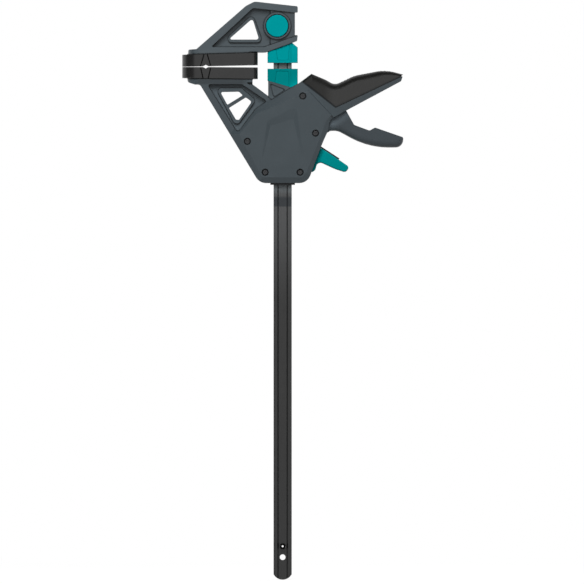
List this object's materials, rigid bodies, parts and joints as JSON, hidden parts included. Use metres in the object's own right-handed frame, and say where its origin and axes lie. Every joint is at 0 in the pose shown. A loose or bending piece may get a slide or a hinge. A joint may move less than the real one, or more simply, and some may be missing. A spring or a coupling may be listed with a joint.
{
  "type": "quick release bar clamp",
  "caption": "One-handed quick release bar clamp: a fixed and a sliding jaw on a steel rail, with squeeze trigger, release lever and lock button.",
  "frame": {"origin": "centre of the hang hole, on the rail's centreline and in the middle of its thickness", "axes": "+Z runs along the rail to the fixed jaw, +X across it to the handle, and the cover's screws are on -Y"},
  "size_m": [0.2431, 0.036, 0.6355],
  "materials": {
    "rail_steel": "satin black finish",
    "dark_steel": "black oxide",
    "body_plastic": "fine moulded grain",
    "lever_plastic": "fine moulded grain",
    "black_plastic": "smooth moulded",
    "pad_rubber": "soft matt",
    "grip_rubber": "soft matt",
    "teal_plastic": "smooth moulded",
    "bright_steel": "zinc plated"
  },
  "bodies": {
    "rail": {"rail_bar": "rail_steel", "rail_stop_pin": "dark_steel", "fixed_jaw_arm": "body_plastic", "fixed_jaw_rear_cap": "body_plastic", "fixed_jaw_pad": "pad_rubber", "fixed_jaw_guard": "teal_plastic", "lock_button_spring": "bright_steel"},
    "lock": {"lock_button": "teal_plastic", "lock_latch": "bright_steel", "lock_latch_screw": "dark_steel"},
    "carriage": {"front_shell": "body_plastic", "rear_shell": "body_plastic", "shell_screws": "dark_steel", "handle_grip": "grip_rubber", "moving_jaw_pad": "pad_rubber", "moving_jaw_guard": "teal_plastic", "lower_rail_guide": "black_plastic", "trigger_pin": "bright_steel", "release_lever_pin": "bright_steel", "drive_spring": "bright_steel", "brake_spring": "bright_steel"},
    "trigger": {"trigger": "lever_plastic"},
    "drive": {"drive_plate_1": "bright_steel", "drive_plate_2": "bright_steel"},
    "brake": {"brake_plate_1": "bright_steel", "brake_plate_2": "bright_steel"},
    "release": {"release_lever": "teal_plastic", "release_lever_core": "dark_steel"}
  },
  "joints": [
    {"name": "carriage_slide", "type": "slide", "parent": "rail", "child": "carriage", "axis": [0, 0, -1], "range_m": [0, 0.394]},
    {"name": "trigger_squeeze", "type": "hinge", "parent": "carriage", "child": "trigger", "pos_m": [0.0389, 0, 0.485], "axis": [0, -1, 0], "range_deg": [0, 28], "stiffness_Nm_per_rad": 0.5, "springref_deg": -17.19},
    {"name": "drive_slide", "type": "slide", "parent": "carriage", "child": "drive", "axis": [0, 0, -1], "range_m": [0, 0.012], "deforming": ["drive_spring"]},
    {"name": "release_press", "type": "hinge", "parent": "carriage", "child": "release", "pos_m": [0.0295, 0, 0.441], "axis": [0, -1, 0], "range_deg": [0, 8], "stiffness_Nm_per_rad": 0.4, "springref_deg": -8.59},
    {"name": "brake_tilt", "type": "hinge", "parent": "carriage", "child": "brake", "pos_m": [-0.017, 0, 0.44199], "axis": [0, 1, 0], "range_deg": [0, 3.6]},
    {"name": "lock_press", "type": "slide", "parent": "rail", "child": "lock", "axis": [0, 1, 0], "range_m": [0, 0.0036], "stiffness_N_per_m": 800, "springref_m": -0.003, "deforming": ["lock_button_spring"]}
  ],
  "couplings": [
    {"joint": "drive_slide", "follows": "trigger_squeeze", "m_per_rad": 0.02426},
    {"joint": "brake_tilt", "follows": "release_press", "ratio": 0.4375}
  ]
}
